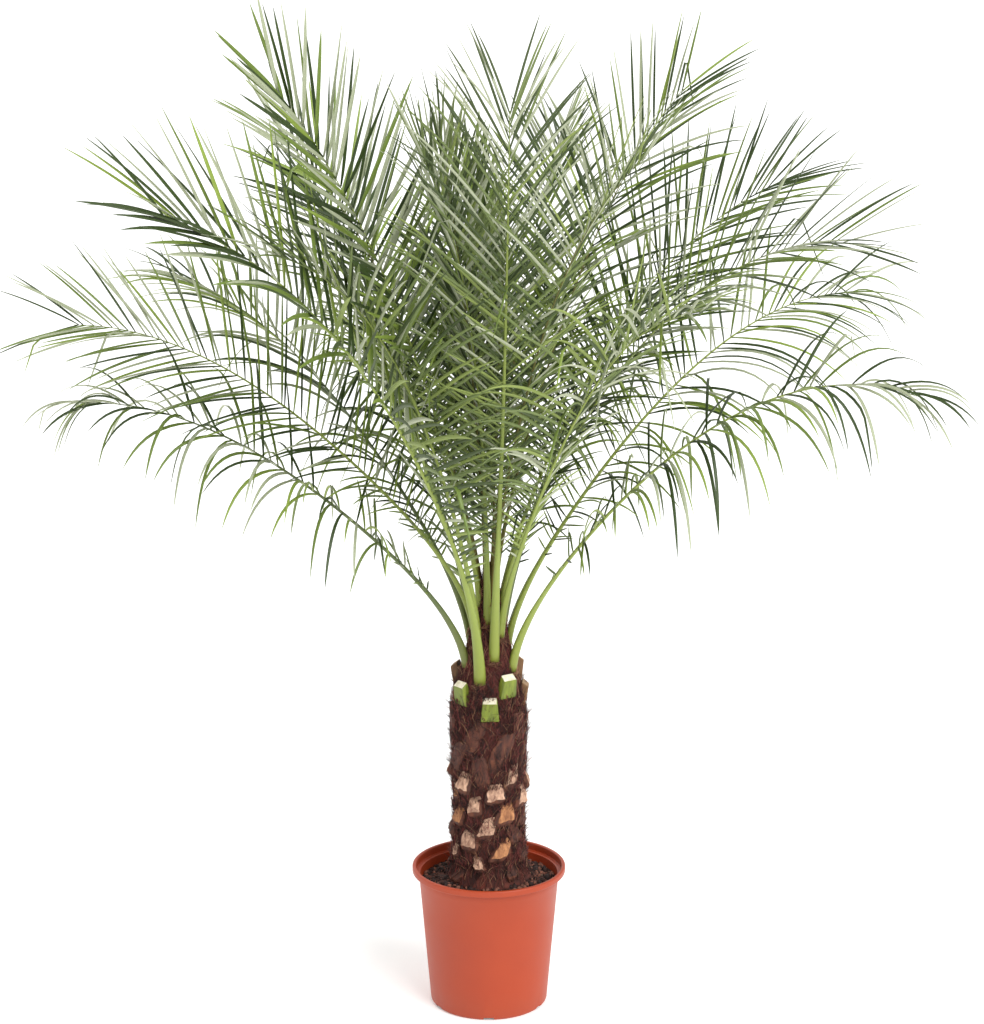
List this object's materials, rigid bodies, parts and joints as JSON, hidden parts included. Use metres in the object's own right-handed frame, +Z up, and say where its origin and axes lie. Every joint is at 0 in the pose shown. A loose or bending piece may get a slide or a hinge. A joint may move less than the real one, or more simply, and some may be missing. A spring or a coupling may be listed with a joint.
{
  "type": "potted pygmy date palm",
  "caption": "Pygmy date palm in a round nursery pot: a short trunk ringed with old leaf bases, cut leaf stubs, and a crown of arching feather fronds.",
  "frame": {"origin": "centre of the pot's flat underside", "axes": "+Z up along the trunk, -Y towards the side the picture shows"},
  "size_m": [1.4528, 1.1464, 1.5597],
  "materials": {
    "pot": "terracotta-coloured moulded plastic, semi-matt, lip polished by handling",
    "soil": "damp dark bark and peat potting mix with fine roots",
    "trunk": "old leaf bases: pinkish tan cut faces in maroon-brown matted fibre",
    "stalk": "smooth green leaf stalk, cut end cream",
    "leaf": "narrow glossy green leaflets on a yellow-green rib",
    "young_leaf": "opening fronds, lighter green with brown scurf on the rib"
  },
  "bodies": {
    "root": {"pot": "pot", "soil": "soil", "trunk": "trunk", "stub_1": "stalk", "stub_2": "stalk", "stub_3": "stalk", "stub_4": "stalk", "stub_5": "stalk", "stub_6": "stalk", "stub_7": "stalk", "stub_8": "stalk", "frond_01": "leaf", "frond_02": "leaf", "frond_03": "leaf", "frond_04": "leaf", "frond_05": "leaf", "frond_06": "leaf", "frond_07": "leaf", "frond_08": "leaf", "frond_09": "leaf", "frond_10": "leaf", "frond_11": "leaf", "frond_12": "leaf", "frond_13": "leaf", "frond_14": "leaf", "frond_15": "leaf", "frond_16": "leaf", "frond_17": "leaf", "frond_18": "leaf", "frond_19": "leaf", "frond_20": "leaf", "frond_21": "leaf", "frond_22": "young_leaf", "frond_23": "young_leaf", "frond_24": "young_leaf"}
  },
  "joints": []
}
